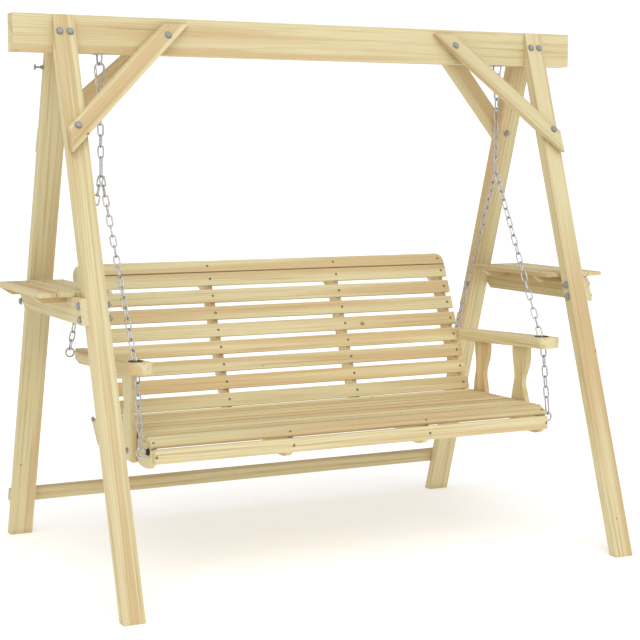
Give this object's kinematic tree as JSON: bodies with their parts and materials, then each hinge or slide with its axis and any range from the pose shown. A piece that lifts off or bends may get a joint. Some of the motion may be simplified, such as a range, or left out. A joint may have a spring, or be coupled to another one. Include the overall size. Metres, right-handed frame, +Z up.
{
  "type": "porch swing",
  "caption": "Wooden garden swing: a slatted bench with arms, hung on chains from an A-frame stand with a small tray at each side",
  "frame": {"origin": "on the floor, at the centre of the four feet, straight below the middle of the top beam", "axes": "+Z up, +X along the beam to the right as seen from in front, +Y from the front of the bench to its back; the sitter faces -Y"},
  "size_m": [2.08, 1.271, 1.8],
  "materials": {
    "stand_wood": "planed pressure-treated pine, pale yellow-green, unvarnished",
    "bench_wood": "planed pressure-treated pine, pale yellow, eased edges",
    "steel": "bright zinc plating",
    "black_plastic": "moulded black plastic"
  },
  "bodies": {
    "stand": {"top_beam": "stand_wood", "front_leg_l": "stand_wood", "front_leg_r": "stand_wood", "rear_leg_l": "stand_wood", "rear_leg_r": "stand_wood", "front_brace_l": "stand_wood", "front_brace_r": "stand_wood", "rear_brace_l": "stand_wood", "rear_brace_r": "stand_wood", "rear_stretcher": "stand_wood", "tray_rail_l": "stand_wood", "tray_rail_r": "stand_wood", "side_tray_l": "stand_wood", "side_tray_r": "stand_wood", "hook_plate_l": "steel", "hook_plate_r": "steel"},
    "hangers": {"hanger_chain_l": "steel", "hanger_chain_r": "steel"},
    "bench": {"front_chain_l": "steel", "front_chain_r": "steel", "rear_chain_l": "steel", "rear_chain_r": "steel", "eye_bolt_l": "steel", "eye_bolt_r": "steel", "grommet_l": "black_plastic", "grommet_r": "black_plastic", "arm_l": "bench_wood", "arm_r": "bench_wood", "front_post_l": "bench_wood", "front_post_r": "bench_wood", "rear_post_l": "bench_wood", "rear_post_r": "bench_wood", "seat_rail_end_l": "bench_wood", "seat_rail_end_r": "bench_wood", "seat_rail_mid_l": "bench_wood", "seat_rail_mid_r": "bench_wood", "back_upright_end_l": "bench_wood", "back_upright_end_r": "bench_wood", "back_upright_mid_l": "bench_wood", "back_upright_mid_r": "bench_wood", "back_slat_1": "bench_wood", "back_slat_2": "bench_wood", "back_slat_3": "bench_wood", "back_slat_4": "bench_wood", "back_slat_5": "bench_wood", "back_slat_6": "bench_wood", "back_slat_7": "bench_wood", "back_slat_8": "bench_wood", "back_slat_9": "bench_wood", "seat_slat_1": "bench_wood", "seat_slat_2": "bench_wood", "seat_slat_3": "bench_wood", "seat_slat_4": "bench_wood", "seat_slat_5": "bench_wood", "seat_slat_6": "bench_wood", "seat_slat_7": "bench_wood", "seat_slat_8": "bench_wood", "seat_nosing": "bench_wood", "front_apron": "bench_wood"}
  },
  "joints": [
    {"name": "swing", "type": "hinge", "parent": "stand", "child": "hangers", "pos_m": [0, 0, 1.6492], "axis": [1, 0, 0], "range_deg": [-25, 25]},
    {"name": "seat_rock", "type": "hinge", "parent": "hangers", "child": "bench", "pos_m": [0, 0, 1.2975], "axis": [1, 0, 0], "range_deg": [-10, 10]}
  ]
}
